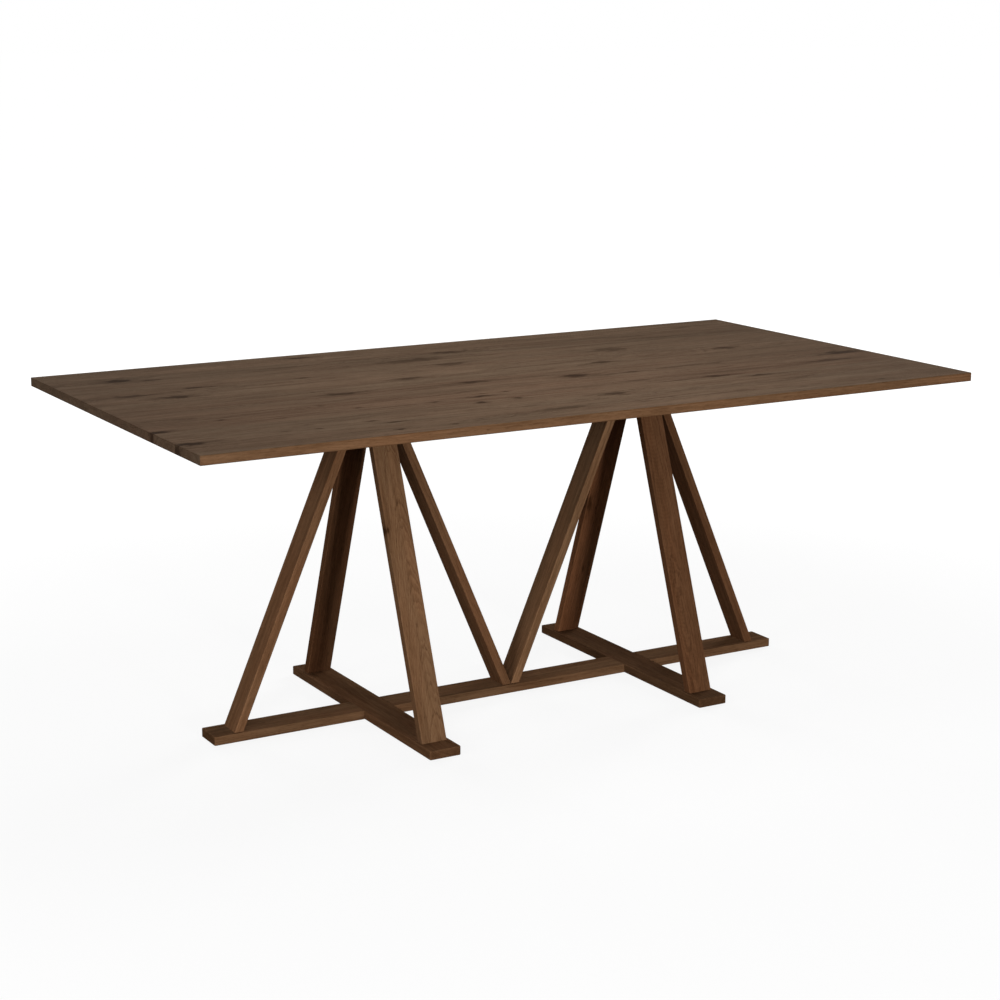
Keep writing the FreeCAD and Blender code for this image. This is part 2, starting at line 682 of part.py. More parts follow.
def fasten_laps(label, underside, thickness):
    length = f"({thickness} - Sizes.lap_screw_cover - Sizes.screw_recess)"
    screw = make_screw(label.removesuffix("s"), "Sizes.lap_screw_diameter", "Sizes.lap_screw_head", length)
    places = []
    for middle in TRESTLES.values():
        for sign in SIGNS:
            x = f"{middle} + {sign} * Sizes.lap_screw_offset"
            places.append((x, f"{sign} * Sizes.lap_screw_offset", f"{underside} + Sizes.screw_recess", 0))
    group(label, screw, places)


fasten_laps("base_lap_screws", "Sizes.pad_thickness", "Sizes.foot_thickness")
fasten_laps("head_lap_screws", "Worked.head_underside", "Sizes.head_thickness")


# Bolts with washers, from below through the bearers and cleats into threaded inserts in the top.

def make_bolt():
    body = new_body("bolt_pattern", solids=0)
    sketch = new_sketch(body, "bolt_half", role="XZ_Plane")
    shank = "Sizes.bolt_diameter / 2"
    rim = "Sizes.bolt_head_diameter / 2"
    socket = "Sizes.bolt_socket"
    length = "Sizes.washer_thickness + Sizes.head_thickness + Sizes.bolt_grip"
    tip = "Sizes.bolt_point"
    draw_outline(sketch, [
        ("0", "-Sizes.bolt_head_height"),
        ("Sizes.bolt_head_flat / 2", "-Sizes.bolt_head_height"),
        (rim, "-Sizes.bolt_head_rim"),
        (rim, "0"),
        (shank, "0"),
        (shank, f"{length} - {tip}"),
        (f"{shank} - {tip}", length),
        ("0", length),
    ])
    feature = body.newObject("PartDesign::Revolution", "bolt_turned")
    feature.Profile = sketch
    feature.ReferenceAxis = (sketch, ["V_Axis"])
    feature.Angle = 360
    doc.recompute()
    recess = new_sketch(body, "bolt_hexagon", lift="-Sizes.bolt_head_height")
    flat = f"({socket} / 2)"
    point = f"({socket} / sqrt(3))"
    draw_outline(recess, [
        ("0", point), (f"-{flat}", f"{point} / 2"), (f"-{flat}", f"-{point} / 2"), ("0", f"-{point}"),
        (flat, f"-{point} / 2"), (flat, f"{point} / 2"),
    ])
    pocket(body, "bolt_socket", recess, "Sizes.bolt_socket_depth", upwards=True)
    return body


def make_ring(name, outer, bore, height):
    body = new_body(f"{name}_pattern", solids=0)
    sketch = new_sketch(body, f"{name}_round")
    draw_circle(sketch, outer, "0", "0")
    draw_circle(sketch, bore, "0", "0")
    pad(body, f"{name}_ring", sketch, height)
    return body


def fasten_top():
    spots = bolt_places()
    under_washer = "Worked.head_underside - Sizes.washer_thickness"
    group("top_bolts", make_bolt(), [(x, y, under_washer, 0) for x, y in spots])
    washer = make_ring("washer", "Sizes.washer_diameter", "Worked.bolt_hole", "Sizes.washer_thickness")
    group("top_washers", washer, [(x, y, under_washer, 0) for x, y in spots])
    bore = "(Sizes.bolt_diameter + 2 * Sizes.insert_clearance)"
    insert = make_ring("insert", "Sizes.insert_diameter", bore, "Sizes.insert_length")
    group("top_inserts", insert, [(x, y, "Worked.top_underside", 0) for x, y in spots])


fasten_top()


# Felt pads that the base stands on: under the ends of the rail and of the cross feet, and the rail's middle.

def make_felt_pads():
    body = new_body("pad_pattern", solids=0)
    sketch = new_sketch(body, "pad_round")
    draw_circle(sketch, "Sizes.pad_diameter", "0", "0")
    pad(body, "pad_disc", sketch, "Sizes.pad_thickness")
    places = [("0", "0", "0", 0)]
    for sign in SIGNS:
        places.append((f"{sign} * (Worked.rail_length / 2 - Sizes.pad_setback)", "0", "0", 0))
        for middle in TRESTLES.values():
            places.append((middle, f"{sign} * (Worked.foot_length / 2 - Sizes.pad_setback)", "0", 0))
    group("felt_pads", body, places)


make_felt_pads()
doc.recompute()


# Every feature has to have worked, every cut has to have taken wood away, and every piece has to be sound.

CUTS = ("PartDesign::Pocket", "PartDesign::Hole", "PartDesign::Fillet", "PartDesign::Chamfer")
for thing in doc.Objects:
    if "Invalid" in thing.State or "Error" in thing.State:
        raise RuntimeError(f"{thing.Label} failed: {thing.State}")
    if thing.TypeId in CUTS:
        if thing.Shape.Volume > thing.BaseFeature.Shape.Volume - TOLERANCE:
            raise RuntimeError(f"{thing.Label} took nothing away")
for label, solids in subparts.items():
    shape = doc.getObject(label).Shape
    if shape.isNull() or not shape.isValid() or len(shape.Solids) != solids:
        raise RuntimeError(f"{label} isn't {solids} sound solids")

os.makedirs("parts", exist_ok=True)
for label in subparts:
    doc.getObject(label).Shape.exportStep(f"parts/{label}.step")
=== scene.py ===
import math

import bmesh
import bpy
from mathutils import Matrix, Vector


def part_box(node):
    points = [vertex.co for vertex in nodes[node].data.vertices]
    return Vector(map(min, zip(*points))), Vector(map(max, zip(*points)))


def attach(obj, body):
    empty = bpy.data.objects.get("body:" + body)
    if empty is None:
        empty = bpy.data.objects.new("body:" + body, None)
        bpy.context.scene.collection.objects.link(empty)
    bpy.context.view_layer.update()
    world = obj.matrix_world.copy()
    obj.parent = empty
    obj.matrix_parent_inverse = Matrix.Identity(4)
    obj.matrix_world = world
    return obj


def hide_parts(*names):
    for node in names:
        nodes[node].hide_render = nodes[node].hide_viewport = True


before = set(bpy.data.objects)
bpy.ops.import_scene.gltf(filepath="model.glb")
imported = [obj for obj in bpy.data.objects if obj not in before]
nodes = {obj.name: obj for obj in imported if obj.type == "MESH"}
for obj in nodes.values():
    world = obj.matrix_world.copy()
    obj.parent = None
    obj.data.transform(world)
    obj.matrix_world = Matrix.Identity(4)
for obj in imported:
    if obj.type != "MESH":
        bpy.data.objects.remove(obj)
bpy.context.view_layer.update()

# Floor rail: one long planed strip of oak, stained dark brown and oiled matt, that both trestles stand on.
# The cross feet are let half into its upper face. Its finish is cut from a solid log, whose year rings,
# pores, rays and knots run through the wood, so that faces, edges and ends agree.


def put(tree, kind, sockets=(), **settings):
    """A shader node, with its settings and what goes into its sockets."""
    node = tree.nodes.new(f"ShaderNode{kind}")
    for name, choice in settings.items():
        setattr(node, name, choice)
    for socket, source in dict(sockets).items():
        if isinstance(source, bpy.types.NodeSocket):
            tree.links.new(source, node.inputs[socket])
        else:
            node.inputs[socket].default_value = source
    return node


def sums(tree, operation, *sources):
    """The outcome of one step of arithmetic."""
    return put(tree, "Math", enumerate(sources), operation=operation).outputs[0]


def vectors(tree, operation, *sources, outcome="Vector"):
    """The outcome of one step of arithmetic on places."""
    return put(tree, "VectorMath", enumerate(sources), operation=operation).outputs[outcome]


def ramp(tree, source, start, end, low=0.0, high=1.0):
    """A soft step from low to high as the source goes from start to end."""
    sockets = {"Value": source, "From Min": start, "From Max": end, "To Min": low, "To Max": high}
    return put(tree, "MapRange", sockets, interpolation_type="SMOOTHSTEP").outputs[0]


def tint(tree, amount, under, over):
    """One colour laid over another by an amount from 0 to 1."""
    return put(tree, "Mix", {0: amount, 6: under, 7: over}, data_type="RGBA").outputs[2]


def noise(tree, place, detail=2.0, output="Fac"):
    """Noise with about one swell to each unit of the place."""
    return put(tree, "TexNoise", {"Vector": place, "Scale": 1.0, "Detail": detail}).outputs[output]


def fibres(tree, place, length, width, detail=2.0, output="Fac"):
    """Noise drawn out along the grain, in streaks of about that length and width."""
    share = (1 / length, 1 / width, 1 / width)
    return noise(tree, vectors(tree, "MULTIPLY", place, share), detail, output)


def new_group(name, takes, gives):
    """A node group with its sockets, and the sockets that it reads and fills inside."""
    tree = bpy.data.node_groups.new(name, "ShaderNodeTree")
    for way, words in (("INPUT", takes), ("OUTPUT", gives)):
        for word, kind in words.items():
            tree.interface.new_socket(word, in_out=way, socket_type=f"NodeSocket{kind}")
    return tree, tree.nodes.new("NodeGroupInput").outputs, tree.nodes.new("NodeGroupOutput").inputs


# In half sizes of a knot: where its dark heart fades, and how far the rings swell round it.
# The halo is the same shape, drawn out along the grain and across it.
HEART_FADES = (0.4, 1.05)
HALO_FADES = (0.1, 1.0)
HALO_SHARE = (0.36, 0.62, 0)
SWELL_REACH = 3.2


def make_knot_group():
    """One knot: it swells the rings that pass round it, and darkens the wood at its heart and in a halo
    that feathers out along the grain. Knots are chained, each adding to the ones before."""
    tree, given, gives = new_group(
        "oak_knot",
        {"Spot": "Vector", "Warp": "Vector", "Feather": "Float", "Middle": "Vector", "Size": "Vector",
         "Depth": "Float", "Lift": "Float", "Swell": "Float", "Core": "Float", "Halo": "Float"},
        {"Swell": "Float", "Core": "Float", "Halo": "Float"},
    )
    off = vectors(tree, "SUBTRACT", given["Spot"], given["Middle"])
    shares = vectors(tree, "ADD", vectors(tree, "DIVIDE", off, given["Size"]), given["Warp"])
    flat = vectors(tree, "MULTIPLY", shares, (2, 2, 0))
    reach = vectors(tree, "LENGTH", flat, outcome="Value")
    core = sums(tree, "MULTIPLY", ramp(tree, reach, *HEART_FADES, 1.0, 0.0), given["Depth"])
    drawn_out = vectors(tree, "LENGTH", vectors(tree, "MULTIPLY", flat, HALO_SHARE), outcome="Value")
    halo = sums(tree, "MULTIPLY", ramp(tree, drawn_out, *HALO_FADES, 1.0, 0.0), given["Feather"])
    halo = sums(tree, "MULTIPLY", halo, given["Depth"])
    swell = sums(tree, "MULTIPLY", ramp(tree, reach, 0.0, SWELL_REACH, 1.0, 0.0), given["Lift"])
    tree.links.new(sums(tree, "ADD", given["Swell"], swell), gives["Swell"])
    tree.links.new(sums(tree, "MAXIMUM", given["Core"], core), gives["Core"])
    tree.links.new(sums(tree, "MAXIMUM", given["Halo"], halo), gives["Halo"])
    return tree


# Swings of the year rings: length along the grain, width across it and how far the rings go, in metres
RING_SWINGS = ((0.5, 0.06, 0.014), (0.07, 0.012, 0.0016), (0.024, 0.005, 0.0020))


def ring_radius(tree, given, seeded, from_pith, along):
    """How far a place is from the pith, with the log's wandering and taper and the swelling round knots."""
    radius = vectors(tree, "LENGTH", vectors(tree, "MULTIPLY", from_pith, (0, 1, 1)), outcome="Value")
    for length, width, swing in RING_SWINGS:
        wander = sums(tree, "SUBTRACT", fibres(tree, seeded, length, width), 0.5)
        radius = sums(tree, "MULTIPLY_ADD", wander, swing, radius)
    radius = sums(tree, "MULTIPLY_ADD", along, given["Slope"], radius)
    return sums(tree, "ADD", radius, given["Swell"])


# Ripple: length and width of its patches and of its drift in metres. The drift turns the wave by so many
# radians, and the wave itself turns by so many radians to the metre.
RIPPLE_PATCHES = (0.4, 0.05)
RIPPLE_PATCH_EDGE = (0.42, 0.6)
RIPPLE_DRIFT = (0.09, 0.04)
RIPPLE_DRIFT_TURNS = 9.0
RIPPLE_TURNS = 720.0
RIPPLE_BOW = -2.0
RIPPLE_SWING = 0.0002


def ripple_wave(tree, given, seeded, along, radius):
    """A short wave along the grain, in patches, that bows with the rings."""
    drift = sums(tree, "MULTIPLY", fibres(tree, seeded, *RIPPLE_DRIFT), RIPPLE_DRIFT_TURNS)
    bowed = sums(tree, "MULTIPLY_ADD", radius, RIPPLE_BOW, along)
    wave = sums(tree, "SINE", sums(tree, "MULTIPLY_ADD", bowed, RIPPLE_TURNS, drift))
    patch = ramp(tree, fibres(tree, seeded, *RIPPLE_PATCHES, 1.0), *RIPPLE_PATCH_EDGE)
    return sums(tree, "MULTIPLY", sums(tree, "MULTIPLY", wave, patch), given["Ripple"])


# Year rings: how often and how far their width changes, the shares of a ring where it pales and where the
# next one darkens, and how much the years differ
GROWTH_CHANGES = 0.31
GROWTH_SPREAD = 2.4
RING_PALES = (0.06, 0.8)
RING_DARKENS = (0.86, 1.0)
YEAR_SPREAD = (-0.4, 1.0)


def early_wood(tree, given, radius):
    """The band of large pores that starts each ring, which the stain sinks into. The ring ends dense and
    pale. Rings are unevenly wide, and some years are darker than others."""
    turns = sums(tree, "DIVIDE", radius, given["Ring"])
    growth = put(tree, "TexNoise", {"W": turns, "Scale": GROWTH_CHANGES, "Detail": 1.0},
                 noise_dimensions="1D")
    turns = sums(tree, "MULTIPLY_ADD", growth.outputs[0], GROWTH_SPREAD, turns)
    phase = sums(tree, "FRACT", turns)
    early = ramp(tree, phase, *RING_PALES, 1.0, 0.0)
    early = sums(tree, "MAXIMUM", early, ramp(tree, phase, *RING_DARKENS))
    year = sums(tree, "FLOOR", sums(tree, "ADD", turns, 1 - RING_DARKENS[0]))
    year = put(tree, "TexWhiteNoise", {"W": year}, noise_dimensions="1D").outputs[0]
    return sums(tree, "MULTIPLY", early, ramp(tree, year, *YEAR_SPREAD))


# Pores: length and width in metres, and the noise level that they start at, which is lower in early wood
PORES = (0.011, 0.0006)
PORE_LEVEL = 0.64
PORE_LEVEL_DROP = 0.13
PORE_SOFTNESS = 0.09


def pore_marks(tree, seeded, early):
    """Fine dashes along the grain, thickest in the early wood."""
    level = sums(tree, "MULTIPLY_ADD", early, -PORE_LEVEL_DROP, PORE_LEVEL)
    return ramp(tree, fibres(tree, seeded, *PORES, 1.0), level, sums(tree, "ADD", level, PORE_SOFTNESS))


# Rays: how many to the metre along the grain, round the pith (at this radius) and out from it
RAYS_PER_METRE = (70.0, 1300.0, 55.0)
RAY_RADIUS = 0.12
RAY_EDGE = (0.6, 0.74)


def ray_marks(tree, given, from_pith, along, radius):
    """Thin pale plates that point at the pith."""
    _, across, depth = put(tree, "SeparateXYZ", {0: from_pith}).outputs
    arc = sums(tree, "MULTIPLY", sums(tree, "ARCTAN2", depth, across), RAY_RADIUS)
    plates = put(tree, "CombineXYZ", {0: along, 1: arc, 2: radius}).outputs[0]
    plates = vectors(tree, "MULTIPLY_ADD", plates, RAYS_PER_METRE, given["Tree"])
    return ramp(tree, noise(tree, plates, 1.0), *RAY_EDGE)


# How strongly each mark of the wood takes the stain, from 0 to 1, and how the stain drifts in patches
EARLY_STAIN = 0.36
EARLY_STAIN_ON_ENDS = 0.3
PORE_STAIN = 0.5
RAY_PALENESS = 0.3
HALO_STAIN = 0.8
CORE_STAIN = 0.77
END_STAIN = 0.35
STAIN_PATCHES = (0.3, 0.05)
STAIN_PATCH_EDGE = (0.36, 0.64)
STAIN_COOLER = (0.985, 1.005, 1.015, 1)
STAIN_WARMER = (1.03, 0.99, 0.97, 1)


def stained(tree, given, seeded, tone, early, pores, rays):
    """The stain's colour: brown to pale by tone, and darker wherever it sinks in."""
    colour = tint(tree, tone, given["Brown"], given["Pale"])
    drift = ramp(tree, fibres(tree, seeded, *STAIN_PATCHES, 1.0), *STAIN_PATCH_EDGE)
    colour = vectors(tree, "MULTIPLY", colour, tint(tree, drift, STAIN_COOLER, STAIN_WARMER))
    sunken = sums(tree, "MULTIPLY_ADD", given["End"], EARLY_STAIN_ON_ENDS, EARLY_STAIN)
    for mark, strength, stain in (
        (early, sunken, "Dark"),
        (pores, PORE_STAIN, "Dark"),
        (rays, RAY_PALENESS, "Pale"),
        (given["Halo"], HALO_STAIN, "Dark"),
        (given["Core"], CORE_STAIN, "Knot"),
        (given["End"], END_STAIN, "Dark"),
    ):
        colour = tint(tree, sums(tree, "MULTIPLY", mark, strength), colour, given[stain])
    return colour


# Rim of an edge, partly rubbed wear and partly painted light (a painted highlight where the rim is pale,
# painted shade where it is dark): how far it reaches in metres, and how streaks make it weak or strong
EDGE_REACH = 0.004
EDGE_STREAKS = (0.35, 0.7)
EDGE_WEAR_AND_SHADING = (0.1, 0.5)


def edge_wear_and_shading(tree, given, streak):
    """How strongly the rim lies along the eased edges, where two faces meet. It is partly rubbed wear and
    partly painted light: a painted highlight where it is pale, painted shade where it is dark.
    """
    room = vectors(tree, "SUBTRACT", given["Half"], vectors(tree, "ABSOLUTE", given["Spot"]))
    sides = put(tree, "SeparateXYZ", {0: room}).outputs
    near = [ramp(tree, side, 0.0, EDGE_REACH, 1.0, 0.0) for side in sides]
    pairs = [sums(tree, "MULTIPLY", near[a], near[b]) for a, b in ((0, 1), (0, 2), (1, 2))]
    worn_and_shaded = sums(tree, "MAXIMUM", sums(tree, "MAXIMUM", pairs[0], pairs[1]), pairs[2])
    return sums(tree, "MULTIPLY", worn_and_shaded, ramp(tree, streak, *EDGE_STREAKS, *EDGE_WEAR_AND_SHADING))


# Tone: length and width of fine lines, streaks and broad flames in metres, and how much each one counts
LINES = (0.03, 0.0015)
STREAKS = (0.13, 0.009)
FLAMES = (0.5, 0.04)
LINE_TONE = 0.75
STREAK_TONE = 0.75
FLAME_TONE = 0.5
RIPPLE_TONE = 0.09
TONE_SPAN = (0.69, 1.31)

# Oiled wood is matt, its pores rougher and its knots smoother. Grain is about a tenth of 1 mm deep.
WOOD_ROUGHNESS = 0.97
STREAK_SMOOTHNESS = 0.14
PORE_ROUGHNESS = 0.06
KNOT_SMOOTHNESS = 0.1
GRAIN_RELIEF = 0.00007
LINE_RELIEF = 0.5
EARLY_RELIEF = 0.3

# How far apart in the noise the logs of two trees lie
TREE_STEP = (7.3, 3.1, 5.9)


def make_oak_group():
    """Stained oak, cut from a log whose rings lie round a pith line along X. Spot is a place in the piece,
    with X along the grain, Y across the broad face and Z through the thickness, in metres."""
    tree, given, gives = new_group(
        "stained_oak",
        {"Spot": "Vector", "Pith": "Vector", "Slope": "Float", "Ring": "Float", "Tree": "Float",
         "Ripple": "Float", "Swell": "Float", "Core": "Float", "Halo": "Float", "End": "Float",
         "Half": "Vector", "Pale": "Color", "Brown": "Color", "Dark": "Color", "Knot": "Color",
         "Rim": "Color"},
        {"Colour": "Color", "Roughness": "Float", "Height": "Float"},
    )
    spot = given["Spot"]
    seeded = vectors(tree, "MULTIPLY_ADD", given["Tree"], TREE_STEP, spot)
    along = put(tree, "SeparateXYZ", {0: spot}).outputs[0]
    from_pith = vectors(tree, "SUBTRACT", spot, given["Pith"])
    radius = ring_radius(tree, given, seeded, from_pith, along)
    wave = ripple_wave(tree, given, seeded, along, radius)
    radius = sums(tree, "MULTIPLY_ADD", wave, RIPPLE_SWING, radius)
    early = early_wood(tree, given, radius)
    pores = pore_marks(tree, seeded, early)
    rays = ray_marks(tree, given, from_pith, along, radius)

    lines = fibres(tree, seeded, *LINES)
    streak = fibres(tree, seeded, *STREAKS, 4.0)
    flame = fibres(tree, seeded, *FLAMES)
    tone = sums(tree, "MULTIPLY_ADD", lines, LINE_TONE, sums(tree, "MULTIPLY", streak, STREAK_TONE))
    tone = sums(tree, "MULTIPLY_ADD", flame, FLAME_TONE, tone)
    tone = sums(tree, "MULTIPLY_ADD", wave, RIPPLE_TONE, tone)
    tone = ramp(tree, tone, *TONE_SPAN)
    colour = stained(tree, given, seeded, tone, early, pores, rays)
    # The rim along the edges: partly wear and partly painted light, a painted highlight where it is pale and
    # painted shade where it is dark.
    colour = tint(tree, edge_wear_and_shading(tree, given, streak), colour, given["Rim"])
    tree.links.new(colour, gives["Colour"])

    rough = sums(tree, "MULTIPLY_ADD", streak, -STREAK_SMOOTHNESS, WOOD_ROUGHNESS)
    rough = sums(tree, "MULTIPLY_ADD", pores, PORE_ROUGHNESS, rough)
    rough = sums(tree, "MULTIPLY_ADD", given["Core"], -KNOT_SMOOTHNESS, rough)
    tree.links.new(rough, gives["Roughness"])
    sunk = sums(tree, "MULTIPLY_ADD", lines, LINE_RELIEF, pores)
    sunk = sums(tree, "MULTIPLY_ADD", early, EARLY_RELIEF, sunk)
    tree.links.new(sums(tree, "MULTIPLY", sunk, -GRAIN_RELIEF), gives["Height"])
    return tree


knot_group = make_knot_group()
oak_group = make_oak_group()

# Knots have a ragged outline and a feathered halo: length and width of both kinds of streak, in metres.
# The rings rise round a knot by a share of its width.
KNOT_OUTLINE = (0.03, 0.012)
KNOT_RAGGEDNESS = (0.7, 0.9, 0)
KNOT_FEATHERS = (0.07, 0.004)
FEATHER_EDGE = (0.3, 0.65)
FEATHER_SPAN = (0.25, 1.0)
KNOT_LIFT = 0.25


def chain_knots(web, spot, knots, loops):
    """The knots and loops of one piece, as what they do to its rings and its colour."""
    chain = {"Swell": 0.0, "Core": 0.0, "Halo": 0.0}
    swirls = [(*knot, KNOT_LIFT * knot[3]) for knot in knots]
    swirls += [(*loop[:4], 0.0, loop[4]) for loop in loops]
    if not swirls:
        return chain
    warp = vectors(web, "SUBTRACT", fibres(web, spot, *KNOT_OUTLINE, output="Color"), (0.5, 0.5, 0.5))
    warp = vectors(web, "MULTIPLY", warp, KNOT_RAGGEDNESS)
    feather = ramp(web, fibres(web, spot, *KNOT_FEATHERS), *FEATHER_EDGE, *FEATHER_SPAN)
    for along, across, length, width, depth, lift in swirls:
        swirl = put(web, "Group", {
            "Spot": spot, "Warp": warp, "Feather": feather, "Middle": (along, across, 0),
            "Size": (length, width, 1), "Depth": depth, "Lift": lift, **chain,
        }, node_tree=knot_group)
        chain = {word: swirl.outputs[word] for word in chain}
    return chain


# Colours of the stain and of a knot, what warmth does to red, green and blue, and the hue that greying
# turns to (greying is partly a painted sheen on the top)
STAIN_PALE = (0.205, 0.109, 0.055)
STAIN_BROWN = (0.122, 0.061, 0.029)
STAIN_DARK = (0.046, 0.020, 0.008)
KNOT_HEART = (0.028, 0.0098, 0.0024)
REDDENING = (0.5, -0.2, -0.5)
GREYING_HUE = 0.508
OIL_SHEEN = 0.004

# How squarely a face looks along the grain to be an end, and upwards to be a top
END_GRAIN_TURN = (0.6, 0.9)
LOOKS_UP = (0.5, 0.9)


def oak(name, middle, turn, half, tree, pith, slope=0.0, ring=0.0024, tone=1.0, warm=0.0, ripple=0.0,
        greying=0.0, knots=(), loops=()):
    """Oak for one piece, with its middle, the turn of its grain and half its size. Pith is how far the log's
    heart lies from the middle, across the face and through the thickness. Tone lightens the stain and warm
    reddens it; on some pieces both are set partly for painted light and shade. The greying setting greys
    the face that looks up and the ends, which on the top is partly a painted sheen.
    A knot is (along, across, length, width, depth), and a loop in the grain ends with its lift.
    Edges get a rim that is partly wear and partly painted light: pale as a painted highlight, but dark as
    painted shade on greyed wood."""
    material = bpy.data.materials.new(name)
    material.use_nodes = True
    web = material.node_tree
    place = put(web, "TexCoord").outputs
    spot = put(web, "Mapping", {0: place["Object"], 1: middle, 2: turn}, vector_type="TEXTURE").outputs[0]
    grain = Matrix.Rotation(turn[2], 3, "Z") @ Matrix.Rotation(turn[1], 3, "Y") @ Vector((1, 0, 0))
    facing = vectors(web, "DOT_PRODUCT", place["Normal"], grain, outcome="Value")
    end = ramp(web, sums(web, "ABSOLUTE", facing), *END_GRAIN_TURN)
    stains = {}
    for word, colour in (("Pale", STAIN_PALE), ("Brown", STAIN_BROWN), ("Dark", STAIN_DARK)):
        stains[word] = (*(tone * part * (1 + red * warm) for part, red in zip(colour, REDDENING)), 1)
    wood = put(web, "Group", {
        "Spot": spot, "Pith": (0, *pith), "Slope": slope, "Ring": ring, "Tree": tree, "Ripple": ripple,
        "End": end, "Half": half, "Knot": (*KNOT_HEART, 1), "Rim": stains["Dark" if greying else "Pale"],
        **stains, **chain_knots(web, spot, knots, loops),
    }, node_tree=oak_group).outputs
    colour = wood["Colour"]
    # Greying: the faces that look up, and the ends, lose colour; on the top this is partly a painted sheen.
    if greying:
        upward = ramp(web, put(web, "SeparateXYZ", {0: place["Normal"]}).outputs[2], *LOOKS_UP)
        grey = sums(web, "MAXIMUM", upward, end)
        greying_settings = {"Hue": GREYING_HUE, "Saturation": 1 - greying, "Fac": grey, "Color": colour}
        colour = put(web, "HueSaturation", greying_settings).outputs[0]
    bump = put(web, "Bump", {"Height": wood["Height"], "Distance": 1.0, "Strength": 1.0}).outputs[0]
    shader = web.nodes["Principled BSDF"]
    shader.inputs["Specular IOR Level"].default_value = OIL_SHEEN
    web.links.new(colour, shader.inputs["Base Color"])
    web.links.new(wood["Roughness"], shader.inputs["Roughness"])
    web.links.new(bump, shader.inputs["Normal"])
    return material


def finish_with(node, material):
    """Give a piece its finish."""
    mesh = nodes[node].data
    mesh.materials.clear()
    mesh.materials.append(material)


def middle_and_half(node):
    """The middle of a piece and half its size."""
    low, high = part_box(node)
    return (low + high) / 2, (high - low) / 2


ALONG_TABLE = (0, 0, 0)
ACROSS_TABLE = (0, 0, math.pi / 2)


def dress_strip(name, turn, tree, pith, slope, **figure):
    """Oak for a flat strip that runs along or across the table."""
    middle, half = middle_and_half(name)
    if turn == ACROSS_TABLE:
        half = (half.y, half.x, half.z)
    finish_with(name, oak(f"oak_{name}", middle, turn, half, tree, pith, slope, **figure))


# The rail's tone is partly the wood and partly painted shade on its top, which lies under the table.
dress_strip("floor_rail", ALONG_TABLE, 1.0, (0.03, -0.07), 0.012, tone=0.87)

# Cross feet: two shorter strips of the same oak, one to each trestle, that lie across the rail.
# Each is notched from below and drops over the rail, so its upper face runs through the joint unbroken.

# The feet's tones are partly darker wood and partly painted shade on their tops, which lie under the table
# and in the legs' shade.
dress_strip("left_cross_foot", ACROSS_TABLE, 2.0, (-0.02, 0.06), 0.02, tone=0.82, warm=0.06)
dress_strip("right_cross_foot", ACROSS_TABLE, 3.0, (0.05, 0.05), -0.015, tone=0.66, warm=0.06)

# Lap screws of the base: short countersunk wood screws, driven from below through the rail into each foot.
# Steel with a thin zinc plating that is cloudy and a little scratched.

ZINC_DULL = (0.42, 0.43, 0.45, 1)
ZINC_BRIGHT = (0.62, 0.62, 0.60, 1)
ZINC_CLOUDS_PER_METRE = (900.0, 900.0, 900.0)
ZINC_SCRATCHES_PER_METRE = (9000.0, 900.0, 1800.0)
ZINC_ROUGHNESS = (0.28, 0.5)
ZINC_RELIEF = 0.00003


def make_zinc():
    """Zinc plating, in dull and bright clouds and with fine scratches."""
    material = bpy.data.materials.new("zinc_plated_steel")
    material.use_nodes = True
    web = material.node_tree
    spot = put(web, "TexCoord").outputs["Object"]
    cloud = noise(web, vectors(web, "MULTIPLY", spot, ZINC_CLOUDS_PER_METRE), 3.0)
    scratch = noise(web, vectors(web, "MULTIPLY", spot, ZINC_SCRATCHES_PER_METRE), 1.0)
    colour = tint(web, ramp(web, cloud, 0.3, 0.7), ZINC_DULL, ZINC_BRIGHT)
    shader = web.nodes["Principled BSDF"]
    shader.inputs["Metallic"].default_value = 1.0
    web.links.new(colour, shader.inputs["Base Color"])
    web.links.new(ramp(web, scratch, 0.3, 0.7, *ZINC_ROUGHNESS), shader.inputs["Roughness"])
    bump = put(web, "Bump", {"Height": cloud, "Distance": ZINC_RELIEF, "Strength": 0.6}).outputs[0]
    web.links.new(bump, shader.inputs["Normal"])
    return material


zinc = make_zinc()
finish_with("base_lap_screws", zinc)

# Legs: eight flat oak bars, cut level at both ends, that lean along or across the table. Each comes from a
# plank of its own, so its grain differs: arches and a knot on the left front one, ripple and a loop on the
# right front one, two knots on the right back one, and straight grain on the others.

LEG_THICKNESS = 0.020


def dress_leg(name, across_table, side, tree, **figure):
    """Oak for a leaning leg. Side is the way from the trestle's middle to the leg's foot: 1 for right or
    back, -1 for left or front. Its ends stand against other pieces, so they have no rim of wear and painted
    highlight."""
    low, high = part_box(name)
    size = high - low
    run, width = (size.y, size.x) if across_table else (size.x, size.y)
    lean = math.acos(LEG_THICKNESS / math.hypot(run, size.z)) - math.atan2(size.z, run)
    turn = (0, -(math.pi / 2 + side * lean), math.pi / 2 if across_table else 0)
    half = (size.z, width / 2, LEG_THICKNESS / 2)
    finish_with(name, oak(f"oak_{name}", (low + high) / 2, turn, half, tree, **figure))


